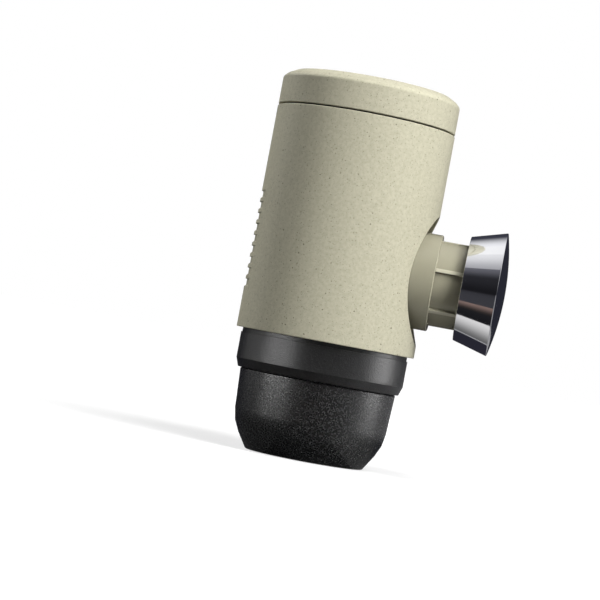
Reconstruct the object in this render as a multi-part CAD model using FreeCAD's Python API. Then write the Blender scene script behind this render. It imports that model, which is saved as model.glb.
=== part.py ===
import FreeCAD, Part
import math
import os

# Handheld manual espresso maker: one STEP file for each piece, in millimetres.
# It stands along +Z on the flat rim of its bowl, with the origin at the middle of that rim.
# The pump lies across it along +X, at the height PUMP_Z, with its knob drawn out.

V = FreeCAD.Vector

# ---------------------------------------------------------------- driving dimensions
BODY_R = 30.0  # outer radius of the shell
SHELL_WALL = 2.2
SHELL_BOTTOM_Z = 39.4
SHELL_TOP_Z = 114.7
OPENING_HALF_W, OPENING_HALF_H = 16.7, 21.5  # the shell's oval side opening

GRIP_GROOVES = 9
GRIP_PITCH = 3.72
GRIP_Z0 = 53.4
GRIP_HALF_ANGLE = 23.0
GRIP_DEPTH = 0.55
GRIP_OPEN = 2.1

CAP_GAP = 0.7  # shadow gap between shell and cap
CAP_SIDE_H = 7.3
CAP_H = 11.3
CAP_WALL = 2.0
CAP_BEVEL_R = 26.0  # where the bevel meets the top
PLUG_DEPTH = 7.6

BOWL_H = 26.0
BOWL_TOP_R = 26.2
BOWL_TURN_R, BOWL_TURN_Z = 25.33, 8.58  # where the side turns in to the foot
BOWL_TURN_ROUND = 16.0
BOWL_FOOT_R = 19.8
BOWL_NECK_H = 8.2
BAND_R = 28.15
BAND_BOTTOM_Z = 26.4
BAND_TOP_Z = 38.0
BAND_CHAMFER = 1.0
BAND_CHAMFER_H = 2.9
BOWL_FLOOR_Z = 9.2
THREAD_R = 24.9  # bore that the bowl's neck screws into

PUMP_Z = 65.3
STROKE = 14.0
CYLINDER_R = 11.3  # bore of the pump cylinder
PORT_X = -19.5  # the two pump ports stand on this line
COLLAR_R = 16.15
COLLAR_FACE_X = 32.5
COLLAR_SPIGOT_X = 13.0
SLEEVE_R = 14.1
SLEEVE_WALL = 2.5
SLEEVE_X0, SLEEVE_X1 = 22.6, 47.0
ROD_R = 3.0
NUT_THREAD_R = 2.4
ROD_TIP_X, ROD_END_X = -5.9, 45.4
PISTON_X0, PISTON_X1 = -3.8, 3.6
CUP_X = -1.4  # where the cup seal meets the piston head
SPRING_X0, SPRING_X1 = 8.1, 43.2

# the bayonet between collar and plunger, in degrees round the pump axis from -Y towards -Z
GROOVES = 3
GROOVE_FROM, GROOVE_TO = -13.3, 39.7
GROOVE_DEPTH = 0.8
RIB_WIDTH = 5.0  # degrees
RIB_HEIGHT = 0.35
LUG_FROM, LUG_TO = -11.3, 9.7
LUG_X0, LUG_X1 = 29.5, 32.0
HOOK_FROM = 12.2
HOOK_LENGTH = 2.2

KNOB_EDGE_X, KNOB_EDGE_R = 41.6, 17.4
KNOB_RIM_X, KNOB_RIM_R = 53.4, 20.7
KNOB_CROWN = 2.5
KNOB_FLAT_R = 8.0
KNOB_WALL = 1.0
SCREW_HEAD_X = 49.2

CEILING_Z = 38.0  # underside of the brew head above the shower screen
HEAD_TOP_Z = 44.0
DECK_Z = 83.5  # top of the pump housing, where the tank stands
DECK_T = 2.5
DECK_HALF_W = 13.0
TANK_WALL = 2.1
SPIGOT_R, SPIGOT_BORE_R = 4.0, 2.0
SPIGOT_H = 2.2  # below the deck's top
HOUSING_SCREW_R = 17.8
SCREW_R = 1.25
SCREW_SEAT_Z, SCREW_TIP_Z = 40.3, 48.3
POST_R, POST_H = 3.2, 13.0
SMALL_SCREW_R = 1.5

VALVE_DISC_R = 3.2
VALVE_WEB_Z0, VALVE_WEB_Z1 = 79.9, 81.1
OUTLET_SEAT_Z = 49.0
OUTLET_SEAT_R = 1.4
OUTLET_BORE_R = 3.6
PORT_BOSS_R = 5.2
PORT_BOSS_Z = 40.4
OUTLET_PLUG_Z0, OUTLET_PLUG_Z1 = 40.6, 42.0
POPPET_RIM = 1.0  # thickness of a valve disc

BASKET_R = 22.4
BASKET_SHEET = 0.6
BASKET_FLOOR_Z = 14.0
FOOT_RECESS_R = 15.5
FOOT_RECESS_Z = 1.2
CREMA_SEAT_Z = 8.0
CREMA_SEAT_R = 1.3
CREMA_BORE_R = 3.3
NOZZLE_TOP_Z = 3.6
NOZZLE_R = 1.5

RUN = 0.05  # radial clearance of a running fit
CLEAR = 0.3  # clearance between pieces that only pass each other
SNUG = 0.02  # clearance of pieces that are seated in each other

# ---------------------------------------------------------------- worked out from them
SHELL_IN_R = BODY_R - SHELL_WALL
CAP_R = BODY_R - 0.1
CAP_IN_R = CAP_R - CAP_WALL
CAP_BOTTOM_Z = SHELL_TOP_Z + CAP_GAP
CAP_TOP_Z = CAP_BOTTOM_Z + CAP_H
PLUG_TOP_Z = CAP_BOTTOM_Z + 2.0
TANK_R = SHELL_IN_R - SNUG
TANK_IN_R = TANK_R - TANK_WALL
TANK_FLOOR_Z = DECK_Z + 0.3
TANK_TOP_Z = SHELL_TOP_Z - 0.5
SPIGOT_Z = DECK_Z - SPIGOT_H
PLUG_R = TANK_IN_R - 0.2
SLEEVE_IN_R = SLEEVE_R - SLEEVE_WALL
COLLAR_IN_R = SLEEVE_R + RIB_HEIGHT + CLEAR
TUBE_R = COLLAR_R + 1.45
WELL_X = 22.3  # outer face of the plate behind the side opening
NOTCH_Z = PUMP_Z + OPENING_HALF_H + 1.0  # the tank is cut away below this, behind the opening
LINER_R = CYLINDER_R + 1.0
LINER_X0, LINER_X1 = PORT_X - 1.8, 6.0
HOUSING_R = SHELL_IN_R - 0.4
HOUSING_Z = HEAD_TOP_Z + SNUG
PISTON_R = CYLINDER_R - 0.2
HUB_X0 = SPRING_X1 + 0.1
HUB_FACE_X = SLEEVE_X1 + SNUG
KNOB_FLOOR_X = KNOB_RIM_X - 0.6
KNOB_IN_R = KNOB_EDGE_R - KNOB_WALL
FAR = BODY_R + 10.0  # beyond every piece
NECK_R = THREAD_R - CLEAR
NECK_TOP_Z = BOWL_H + BOWL_NECK_H
RIM_TOP_Z = NECK_TOP_Z + BASKET_SHEET + 0.1
SCREEN_Z = RIM_TOP_Z + 1.0
GASKET_SEAT_Z = RIM_TOP_Z + 1.7
SCREEN_R = 20.4


# ---------------------------------------------------------------- shapes
def rounded_wire(corners):
    """A closed wire in the XZ plane through corners (r, z) or (r, z, corner radius)."""
    points = [V(c[0], 0, c[1]) for c in corners]
    radii = [c[2] if len(c) > 2 else 0.0 for c in corners]
    count = len(points)
    starts, ends, arcs = [], [], []
    for i, point in enumerate(points):
        come = (point - points[i - 1]).normalize()
        go = (points[(i + 1) % count] - point).normalize()
        reach = radii[i] * math.tan(come.getAngle(go) / 2)
        starts.append(point - come * reach)
        ends.append(point + go * reach)
        arcs.append(None)
        if reach > 1e-6:
            inward = (go - come).normalize()
            centre = point + inward * math.hypot(radii[i], reach)
            arcs[i] = Part.Arc(starts[i], centre - inward * radii[i], ends[i]).toShape()
    edges = []
    for i in range(count):
        if arcs[i]:
            edges.append(arcs[i])
        edges.append(Part.LineSegment(ends[i], starts[(i + 1) % count]).toShape())
    return Part.Wire(edges)


def turned(corners, angle=360.0, start=0.0):
    """The outline spun round Z by angle, from start degrees round from +X."""
    face = Part.Face(rounded_wire(corners))
    face.rotate(V(0, 0, 0), V(0, 0, 1), start)
    return face.revolve(V(0, 0, 0), V(0, 0, 1), angle)


def tube(outer, inner, z0, z1, x=0.0):
    ring = turned([(inner, z0), (outer, z0), (outer, z1), (inner, z1)])
    ring.translate(V(x, 0, 0))
    return ring


def rod(radius, z0, z1, x=0.0, y=0.0):
    return Part.makeCylinder(radius, z1 - z0, V(x, y, z0))


def block(x0, x1, y0, y1, z0, z1):
    return Part.makeBox(x1 - x0, y1 - y0, z1 - z0, V(x0, y0, z0))


def joined(*shapes):
    return shapes[0].multiFuse(list(shapes[1:])).removeSplitter()


def less(shape, *cutters):
    return shape.cut(list(cutters)).removeSplitter()


def compass(count, start=0.0):
    """Cosine and sine of directions evenly spaced round a circle."""
    angles = [start + math.tau * i / count for i in range(count)]
    return [(math.cos(a), math.sin(a)) for a in angles]


def round_axis(shape, count):
    """Copies of a shape, evenly spaced round Z."""
    copies = [shape.copy() for _ in range(count)]
    for i, copy in enumerate(copies):
        copy.rotate(V(0, 0, 0), V(0, 0, 1), 360.0 * i / count)
    return copies


def on_pump(shape):
    """Lays a shape made round Z onto the pump axis, so that its z becomes x."""
    laid = shape.copy()
    laid.rotate(V(0, 0, 0), V(0, 1, 0), 90)
    laid.translate(V(0, 0, PUMP_Z))
    return laid


def sector(outer, inner, z0, z1, angle_from, angle_to):
    """A piece of tube round the pump axis, between two angles from -Y towards -Z."""
    outline = [(inner, z0), (outer, z0), (outer, z1), (inner, z1)]
    return turned(outline, angle_to - angle_from, angle_from - 90.0)


def hexagon(across_flats, z0, z1, x=0.0, y=0.0):
    corner_r = across_flats / math.sqrt(3)
    points = [V(x + corner_r * c, y + corner_r * s, z0) for c, s in compass(6)]
    return Part.Face(Part.makePolygon(points + points[:1])).extrude(V(0, 0, z1 - z0))


def perforations(width, rings, pitch, z0, z1):
    """Six-sided holes on rings round Z, six more on each ring than on the last."""
    holes = []
    for ring in range(1, rings + 1):
        spots = compass(6 * ring)
        holes += [hexagon(width, z0, z1, ring * pitch * c, ring * pitch * s) for c, s in spots]
    return holes


def coil(mean_radius, wire_radius, turns, z0, z1, steps=12, sides=6):
    """A compression spring round Z, bent from short straight lengths of wire."""
    rise = (z1 - z0 - 2.2 * wire_radius) / (turns * steps)
    points = []
    for i in range(turns * steps + 1):
        angle = math.tau * i / steps
        height = z0 + 1.1 * wire_radius + i * rise
        points.append(V(mean_radius * math.cos(angle), mean_radius * math.sin(angle), height))
    corners = [V(wire_radius * c, wire_radius * s, 0) for c, s in compass(sides)]
    section = Part.makePolygon(corners + corners[:1])
    first_run = points[1] - points[0]
    section.Placement = FreeCAD.Placement(points[0], FreeCAD.Rotation(V(0, 0, 1), first_run))
    return Part.makePolygon(points).makePipeShell([section], True, False, 1)


def oval(half_width, half_height, x0, x1):
    """A prism along X with an upright ellipse for its section, on the pump axis."""
    outline = Part.Ellipse(V(0, 0, 0), half_height, half_width).toShape()
    face = Part.Face(Part.Wire(outline))
    face.rotate(V(0, 0, 0), V(0, 1, 0), -90)
    face.translate(V(x0, 0, PUMP_Z))
    return face.extrude(V(x1 - x0, 0, 0))


def at_screws(make):
    return [make(HOUSING_SCREW_R * c, HOUSING_SCREW_R * s) for c, s in compass(3)]


# ---------------------------------------------------------------- casing
def grip_groove(z):
    floor_r, out_r = BODY_R - GRIP_DEPTH, BODY_R + 0.5
    outline = [(floor_r, z), (floor_r, z + GRIP_OPEN), (out_r, z + GRIP_OPEN), (out_r, z - 0.6)]
    return turned(outline, 2 * GRIP_HALF_ANGLE, 180.0 - GRIP_HALF_ANGLE)


def outer_shell():
    wall = tube(BODY_R, SHELL_IN_R, SHELL_BOTTOM_Z, SHELL_TOP_Z)
    opening = oval(OPENING_HALF_W, OPENING_HALF_H, 5.0, FAR)
    grooves = [grip_groove(GRIP_Z0 + i * GRIP_PITCH) for i in range(GRIP_GROOVES)]
    return less(wall, opening, *grooves)


# ---------------------------------------------------------------- cap
def cap_cover():
    side_top = CAP_BOTTOM_Z + CAP_SIDE_H
    roof_z = CAP_TOP_Z - CAP_WALL
    return turned(
        [
            (0, roof_z),
            (CAP_BEVEL_R - 1.0, roof_z),
            (CAP_BEVEL_R - 1.0, roof_z - CAP_WALL),
            (CAP_IN_R, roof_z - CAP_WALL),
            (CAP_IN_R, CAP_BOTTOM_Z),
            (CAP_R, CAP_BOTTOM_Z),
            (CAP_R, side_top),
            (CAP_R - 0.7, side_top + 1.6),
            (CAP_BEVEL_R, CAP_TOP_Z),
            (0, CAP_TOP_Z),
        ]
    )


def cap_plug():
    """Closes the tank: a flange under the cover, and a threaded skirt inside the tank's mouth."""
    skirt_in_r = PLUG_R - 2.0
    body = turned(
        [
            (0, CAP_BOTTOM_Z),
            (skirt_in_r, CAP_BOTTOM_Z),
            (skirt_in_r, CAP_BOTTOM_Z - PLUG_DEPTH),
            (PLUG_R, CAP_BOTTOM_Z - PLUG_DEPTH),
            (PLUG_R, CAP_BOTTOM_Z),
            (CAP_IN_R - SNUG, CAP_BOTTOM_Z),
            (CAP_IN_R - SNUG, PLUG_TOP_Z),
            (0, PLUG_TOP_Z),
        ]
    )
    z0, z1 = CAP_BOTTOM_Z - 1, PLUG_TOP_Z + 1
    vent = hexagon(1.4, z0, z1, 2.8)
    return less(body, rod(1.0, z0, z1), *round_axis(vent, 3))


def cap_gasket():
    return tube(TANK_R - 0.3, PLUG_R + SNUG, TANK_TOP_Z + SNUG, CAP_BOTTOM_Z - SNUG)


def cap_vent_valve():
    """A silicone umbrella that lets air in as the water goes down."""
    disc_z, stem_z = CAP_BOTTOM_Z - SNUG, PLUG_TOP_Z + 1.0
    stem_r = 1.0 - RUN
    outline = [(0, disc_z - 1.2), (4.2, disc_z), (stem_r, disc_z), (stem_r, stem_z), (0, stem_z)]
    return turned(outline)


# ---------------------------------------------------------------- tank
def water_tank():
    floor_top = TANK_FLOOR_Z + 2.0
    outer = rod(TANK_R, TANK_FLOOR_Z, TANK_TOP_Z)
    outer = outer.cut(block(WELL_X + CLEAR, FAR, -FAR, FAR, TANK_FLOOR_Z - 5, NOTCH_Z))
    inner = rod(TANK_IN_R, floor_top, TANK_TOP_Z + 1)
    step_x, step_z = WELL_X + CLEAR - TANK_WALL, NOTCH_Z + TANK_WALL
    inner = inner.cut(block(step_x, FAR, -FAR, FAR, 0, step_z))
    spigot = rod(SPIGOT_R, SPIGOT_Z, TANK_FLOOR_Z + 0.5, PORT_X)
    port = rod(SPIGOT_BORE_R, SPIGOT_Z - 1, floor_top + 1, PORT_X)
    return less(joined(outer, spigot), inner, port)


def tank_seal():
    return tube(SPIGOT_R + 1.2 - SNUG, SPIGOT_R + SNUG, SPIGOT_Z + 0.2, SPIGOT_Z + 1.3, PORT_X)


# ---------------------------------------------------------------- pump, fixed pieces
def pump_housing():
    barrel = on_pump(rod(TUBE_R, LINER_X0 - 2.5, WELL_X - 0.5))
    well_plate = oval(OPENING_HALF_W + 1.9, OPENING_HALF_H - 0.6, WELL_X - 1.5, WELL_X)
    deck = block(LINER_X0, WELL_X - 1, -DECK_HALF_W, DECK_HALF_W, DECK_Z - DECK_T, DECK_Z)
    spine = block(LINER_X0, WELL_X - 1, -0.9, 0.9, HOUSING_Z + 1, DECK_Z - 1)
    posts = at_screws(lambda x, y: rod(POST_R, HOUSING_Z, HOUSING_Z + POST_H, x, y))
    inlet_boss = rod(6.6, PUMP_Z, DECK_Z, PORT_X)
    outlet_boss = rod(PORT_BOSS_R, PORT_BOSS_Z, PUMP_Z, PORT_X)
    body = joined(barrel, well_plate, deck, spine, inlet_boss, outlet_boss, *posts)
    body = body.common(rod(HOUSING_R, PORT_BOSS_Z, DECK_Z))
    web_z0, web_z1 = VALVE_WEB_Z0 - 1, VALVE_WEB_Z1 + 1
    bores = [
        on_pump(rod(LINER_R, LINER_X0, LINER_X1 + 0.5)),
        on_pump(rod(COLLAR_IN_R, LINER_X1, COLLAR_SPIGOT_X + 1)),
        on_pump(rod(COLLAR_R + SNUG, COLLAR_SPIGOT_X, FAR)),
        rod(SPIGOT_R + 1.2, VALVE_WEB_Z1, DECK_Z + 1, PORT_X),
        rod(VALVE_DISC_R + 0.6, PUMP_Z + LINER_R - 1, VALVE_WEB_Z0, PORT_X),
        rod(0.9, web_z0, web_z1, PORT_X),
        rod(OUTLET_SEAT_R, OUTLET_SEAT_Z - 1, PUMP_Z, PORT_X),
        rod(OUTLET_BORE_R, PORT_BOSS_Z - 1, OUTLET_SEAT_Z, PORT_X),
        *[hexagon(1.1, web_z0, web_z1, PORT_X + 2 * c, 2 * s) for c, s in compass(4)],
        *at_screws(lambda x, y: rod(SCREW_R, HOUSING_Z - 1, SCREW_TIP_Z + 0.3, x, y)),
    ]
    return less(body, *bores)


def pump_cylinder():
    """A drawn steel cup with a port above and below, close to its closed end."""
    outer_r = LINER_R - SNUG
    cup = turned(
        [
            (0, LINER_X0 + SNUG),
            (outer_r, LINER_X0 + SNUG),
            (outer_r, LINER_X1),
            (CYLINDER_R, LINER_X1),
            (CYLINDER_R, LINER_X0 + 1.0),
            (0, LINER_X0 + 1.0),
        ]
    )
    return less(on_pump(cup), hexagon(2.6, PUMP_Z - 20, PUMP_Z + 20, PORT_X))


def inlet_valve():
    """A silicone umbrella whose stem is pulled up through the web above it."""
    top = VALVE_WEB_Z0 - SNUG
    web_top = VALVE_WEB_Z1 + SNUG
    valve = turned(
        [
            (0, top - 0.9),
            (VALVE_DISC_R, top),
            (0.85, top),
            (0.85, web_top),
            (1.4, web_top),
            (0.6, web_top + 1.0),
            (0, web_top + 1.0),
        ]
    )
    valve.translate(V(PORT_X, 0, 0))
    return valve


def poppet(disc_r, nose_r, seat_z, x=0.0):
    """A valve disc just under its seat, with a nose through the seat and a stub in its spring."""
    top = seat_z - RUN
    valve = turned(
        [
            (0, top - 2.2),
            (1.0, top - 2.2),
            (1.0, top - POPPET_RIM),
            (disc_r, top - POPPET_RIM),
            (disc_r, top),
            (nose_r, top),
            (0, top + 0.9),
        ]
    )
    valve.translate(V(x, 0, 0))
    return valve


def outlet_valve():
    return poppet(2.9, OUTLET_SEAT_R - 0.15, OUTLET_SEAT_Z, PORT_X)


def outlet_valve_plug():
    """Screwed up into the boss under the spring, with the coffee water's way through it."""
    return tube(OUTLET_BORE_R - SNUG, 1.2, OUTLET_PLUG_Z0, OUTLET_PLUG_Z1, PORT_X)


def outlet_valve_spring():
    spring_z1 = OUTLET_SEAT_Z - RUN - POPPET_RIM - 0.1
    spring = coil(1.8, 0.25, 4, OUTLET_PLUG_Z1 + SNUG, spring_z1, 8, 4)
    spring.translate(V(PORT_X, 0, 0))
    return spring


# ---------------------------------------------------------------- collar and plunger
def guide_collar():
    body = turned(
        [
            (COLLAR_IN_R, COLLAR_SPIGOT_X),
            (COLLAR_R, COLLAR_SPIGOT_X),
            (COLLAR_R, COLLAR_FACE_X - 0.3),
            (COLLAR_R - 0.3, COLLAR_FACE_X),
            (COLLAR_IN_R, COLLAR_FACE_X),
        ]
    )
    lug_in_r = SLEEVE_R - GROOVE_DEPTH + 0.25
    lug = sector(COLLAR_IN_R + 0.5, lug_in_r, LUG_X0, LUG_X1, LUG_FROM, LUG_TO)
    return on_pump(joined(body, *round_axis(lug, GROOVES)))


def plunger_sleeve():
    """Wide grooves run over the collar's lugs, and the hook in each holds the plunger when it is
    pushed in and turned. A rib stands along each side of a groove."""
    floor_r, out_r = SLEEVE_R - GROOVE_DEPTH, SLEEVE_R + 1
    groove_x0 = LUG_X0 - CLEAR
    hook_x1 = groove_x0 + STROKE
    rib_r = SLEEVE_R + RIB_HEIGHT
    body = tube(SLEEVE_R, SLEEVE_IN_R, SLEEVE_X0, SLEEVE_X1)
    groove = sector(out_r, floor_r, groove_x0, FAR * 2, GROOVE_FROM, GROOVE_TO)
    rib_ends = [(GROOVE_FROM - RIB_WIDTH, GROOVE_FROM), (GROOVE_TO, GROOVE_TO + RIB_WIDTH)]
    ribs = [sector(rib_r, floor_r, groove_x0, SLEEVE_X1, a, b) for a, b in rib_ends]
    hook = sector(SLEEVE_R, floor_r - 0.3, hook_x1 - HOOK_LENGTH, hook_x1, HOOK_FROM, GROOVE_TO + 1)
    grooved = less(body, *round_axis(groove, GROOVES))
    added = [copy for piece in (*ribs, hook) for copy in round_axis(piece, GROOVES)]
    return on_pump(joined(grooved, *added))


def piston_rod():
    shaft = turned(
        [
            (0, ROD_TIP_X),
            (NUT_THREAD_R, ROD_TIP_X),
            (NUT_THREAD_R, PISTON_X1),
            (ROD_R, PISTON_X1),
            (ROD_R, ROD_END_X),
            (0, ROD_END_X),
        ]
    )
    return on_pump(less(shaft, rod(SMALL_SCREW_R, ROD_END_X - 9.0, ROD_END_X + 1)))


def piston_head():
    """The disc that backs the cup seal, clamped with it between the rod's shoulder and the nut."""
    return on_pump(tube(PISTON_R, NUT_THREAD_R + SNUG, CUP_X + SNUG, PISTON_X1 - SNUG))


def piston_cup():
    """A silicone cup seal, whose front edge runs on the cylinder."""
    lip_r, bore_r = CYLINDER_R - RUN, NUT_THREAD_R + SNUG
    outline = [(bore_r, PISTON_X0), (lip_r, PISTON_X0), (PISTON_R - 0.4, CUP_X), (bore_r, CUP_X)]
    return on_pump(turned(outline))


def piston_nut():
    nut = hexagon(8.0, ROD_TIP_X + 0.2, PISTON_X0 - SNUG)
    return on_pump(less(nut, rod(NUT_THREAD_R + SNUG, ROD_TIP_X - 1, PISTON_X1)))


def rod_guide():
    disc = tube(COLLAR_IN_R - SNUG, ROD_R + RUN, LINER_X1 + SNUG, SPRING_X0 - 0.1)
    vents = [hexagon(2.4, 0, 10, 7.0 * c, 7.0 * s) for c, s in compass(4)]
    return on_pump(less(disc, *vents))


def return_spring():
    return on_pump(coil(9.0, 0.7, 7, SPRING_X0, SPRING_X1))


# ---------------------------------------------------------------- knob
def knob_shell():
    """The chromed cap of the knob: a cone, open at the back, with a crowned end."""
    crown_x = KNOB_RIM_X + KNOB_CROWN
    return on_pump(
        turned(
            [
                (0, KNOB_FLOOR_X),
                (KNOB_IN_R, KNOB_FLOOR_X),
                (KNOB_IN_R, KNOB_EDGE_X),
                (KNOB_EDGE_R, KNOB_EDGE_X),
                (KNOB_RIM_R, KNOB_RIM_X),
                (KNOB_FLAT_R, crown_x),
                (0, crown_x),
            ]
        )
    )


def knob_hub():
    """Fits into the sleeve in front and the knob's shell behind, and is screwed to the rod."""
    spigot_r, disc_r = SLEEVE_IN_R - SNUG, KNOB_IN_R - SNUG
    back_x = KNOB_FLOOR_X - SNUG
    body = turned(
        [
            (0, HUB_X0),
            (spigot_r, HUB_X0),
            (spigot_r, HUB_FACE_X),
            (disc_r, HUB_FACE_X),
            (disc_r, back_x),
            (0, back_x),
        ]
    )
    socket = rod(ROD_R + RUN, HUB_X0 - 1, ROD_END_X + RUN)
    shank = rod(SMALL_SCREW_R + RUN, HUB_X0, back_x + 1)
    head = rod(3.2, SCREW_HEAD_X - RUN, back_x + 1)
    return on_pump(less(body, socket, shank, head))


def knob_screw():
    shank = rod(SMALL_SCREW_R - SNUG, ROD_END_X - 8.0, SCREW_HEAD_X + 0.1)
    return on_pump(joined(shank, hexagon(5.0, SCREW_HEAD_X, SCREW_HEAD_X + 2.0)))


# ---------------------------------------------------------------- brew head
def brew_head():
    """The black band between shell and bowl: the bowl screws into it from below, and the pump
    housing is screwed onto it from above."""
    body = turned(
        [
            (0, CEILING_Z),
            (SCREEN_R + 0.4, CEILING_Z),
            (SCREEN_R + 0.4, GASKET_SEAT_Z),
            (THREAD_R, GASKET_SEAT_Z),
            (THREAD_R, BAND_BOTTOM_Z),
            (BAND_R - BAND_CHAMFER, BAND_BOTTOM_Z),
            (BAND_R, BAND_BOTTOM_Z + BAND_CHAMFER_H),
            (BAND_R, BAND_TOP_Z),
            (SHELL_IN_R - SNUG, BAND_TOP_Z),
            (SHELL_IN_R - SNUG, HEAD_TOP_Z),
            (0, HEAD_TOP_Z),
        ]
    )
    screen_post = rod(4.0, SCREEN_Z + 0.5 + SNUG, CEILING_Z + 1)
    cutters = [
        rod(PORT_BOSS_R + SNUG, PORT_BOSS_Z - SNUG, HEAD_TOP_Z + 1, PORT_X),
        rod(1.6, CEILING_Z - 1, HEAD_TOP_Z, PORT_X),
        rod(SMALL_SCREW_R + SNUG, SCREEN_Z, HEAD_TOP_Z - 2),
        *at_screws(lambda x, y: rod(SCREW_R + 0.2, CEILING_Z - 1, HEAD_TOP_Z + 1, x, y)),
        *at_screws(lambda x, y: rod(2.7, CEILING_Z - 1, SCREW_SEAT_Z, x, y)),
    ]
    return less(joined(body, screen_post), *cutters)


def chassis_screws():
    def screw(x, y):
        shank = rod(SCREW_R - SNUG, SCREW_SEAT_Z - 0.1, SCREW_TIP_Z, x, y)
        return joined(shank, hexagon(4.2, SCREW_SEAT_Z - 1.9, SCREW_SEAT_Z - SNUG, x, y))

    return Part.makeCompound(at_screws(screw))


def shower_screen():
    disc = tube(SCREEN_R, SMALL_SCREW_R + 0.2, SCREEN_Z, SCREEN_Z + 0.5)
    return less(disc, *perforations(1.6, 2, 7.5, SCREEN_Z - 1, SCREEN_Z + 1))


def shower_screw():
    shank = rod(SMALL_SCREW_R, SCREEN_Z - 0.5, HEAD_TOP_Z - 2.3)
    return joined(shank, hexagon(5.5, SCREEN_Z - 1.0, SCREEN_Z - SNUG))


def brew_gasket():
    return tube(THREAD_R - 0.1, SCREEN_R + 0.5, RIM_TOP_Z + SNUG, GASKET_SEAT_Z - SNUG)


# ---------------------------------------------------------------- bowl and basket
def filter_bowl():
    """The filter holder: a threaded neck above, a bowl that draws in to a flat foot below."""
    inner_r = BASKET_R + 0.5
    body = turned(
        [
            (0, FOOT_RECESS_Z),
            (FOOT_RECESS_R, FOOT_RECESS_Z),
            (FOOT_RECESS_R + 0.8, 0),
            (BOWL_FOOT_R, 0),
            (BOWL_TURN_R, BOWL_TURN_Z, BOWL_TURN_ROUND),
            (BOWL_TOP_R, BOWL_H),
            (NECK_R, BOWL_H),
            (NECK_R, NECK_TOP_Z),
            (inner_r, NECK_TOP_Z),
            (inner_r, BOWL_FLOOR_Z),
            (0, BOWL_FLOOR_Z),
        ]
    )
    bore = rod(CREMA_BORE_R, FOOT_RECESS_Z - 1, CREMA_SEAT_Z)
    return less(body, bore, rod(CREMA_SEAT_R, CREMA_SEAT_Z - 1, BOWL_FLOOR_Z + 1))


def filter_basket():
    rim_r, in_r = BASKET_R + 1.8, BASKET_R - BASKET_SHEET
    pan = turned(
        [
            (0, BASKET_FLOOR_Z),
            (BASKET_R, BASKET_FLOOR_Z),
            (BASKET_R, NECK_TOP_Z + SNUG),
            (rim_r, NECK_TOP_Z + SNUG),
            (rim_r, RIM_TOP_Z),
            (in_r, RIM_TOP_Z),
            (in_r, BASKET_FLOOR_Z + BASKET_SHEET),
            (0, BASKET_FLOOR_Z + BASKET_SHEET),
        ]
    )
    return less(pan, *perforations(1.6, 2, 7.5, BASKET_FLOOR_Z - 1, BASKET_FLOOR_Z + 1))


def crema_valve():
    return poppet(2.6, CREMA_SEAT_R - 0.15, CREMA_SEAT_Z)


def crema_spring():
    spring_z1 = CREMA_SEAT_Z - RUN - POPPET_RIM - 0.1
    return coil(1.8, 0.25, 3, NOZZLE_TOP_Z + SNUG, spring_z1, 8, 4)


def outlet_nozzle():
    return turned(
        [
            (NOZZLE_R, 0.5),
            (2.6, 0.5),
            (CREMA_BORE_R - SNUG, FOOT_RECESS_Z),
            (CREMA_BORE_R - SNUG, NOZZLE_TOP_Z),
            (NOZZLE_R, NOZZLE_TOP_Z),
        ]
    )


# ---------------------------------------------------------------- the pieces
PIECES = [
    outer_shell,
    water_tank,
    tank_seal,
    pump_housing,
    pump_cylinder,
    rod_guide,
    guide_collar,
    inlet_valve,
    outlet_valve,
    outlet_valve_plug,
    outlet_valve_spring,
    brew_head,
    chassis_screws,
    shower_screen,
    shower_screw,
    brew_gasket,
    piston_rod,
    piston_head,
    piston_cup,
    piston_nut,
    return_spring,
    plunger_sleeve,
    knob_shell,
    knob_hub,
    knob_screw,
    cap_cover,
    cap_plug,
    cap_gasket,
    cap_vent_valve,
    filter_bowl,
    filter_basket,
    outlet_nozzle,
    crema_valve,
    crema_spring,
]


def main():
    os.makedirs("parts", exist_ok=True)
    for make in PIECES:
        shape = make()
        state = "valid" if shape.isValid() else "NOT VALID"
        print(f"{make.__name__:20s} {len(shape.Solids)} solid(s) {shape.Volume:9.1f} mm3 {state}")
        shape.exportStep(f"parts/{make.__name__}.step")


main()
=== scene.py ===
import math
import bmesh
import bpy
from mathutils import Matrix, Vector


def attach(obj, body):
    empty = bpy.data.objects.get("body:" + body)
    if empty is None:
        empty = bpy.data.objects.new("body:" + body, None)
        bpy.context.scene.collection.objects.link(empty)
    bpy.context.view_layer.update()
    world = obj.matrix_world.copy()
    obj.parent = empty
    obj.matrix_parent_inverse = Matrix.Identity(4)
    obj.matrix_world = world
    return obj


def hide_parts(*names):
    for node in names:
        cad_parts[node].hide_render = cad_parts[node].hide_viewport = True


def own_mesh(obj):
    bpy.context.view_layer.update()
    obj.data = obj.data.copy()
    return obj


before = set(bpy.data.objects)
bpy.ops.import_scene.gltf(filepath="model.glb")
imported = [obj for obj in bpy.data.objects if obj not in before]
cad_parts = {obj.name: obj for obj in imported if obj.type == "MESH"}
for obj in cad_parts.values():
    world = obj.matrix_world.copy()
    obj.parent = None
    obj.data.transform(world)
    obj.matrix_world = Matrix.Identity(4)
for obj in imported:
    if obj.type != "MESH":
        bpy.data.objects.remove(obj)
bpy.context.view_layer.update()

mm = 0.001
pumpHeight = 65.3  # the pump's axis runs along X at this height, in mm
bodyRadius = 29.985  # a hair inside the solid's 30 mm, so that the skin stays in its box
sharpFrom = 32.0  # edges that turn by more degrees than this stay sharp
cornerStep = 12.0  # degrees between the points of a rounded corner
print("frame loaded:", len(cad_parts), "nodes")


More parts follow.
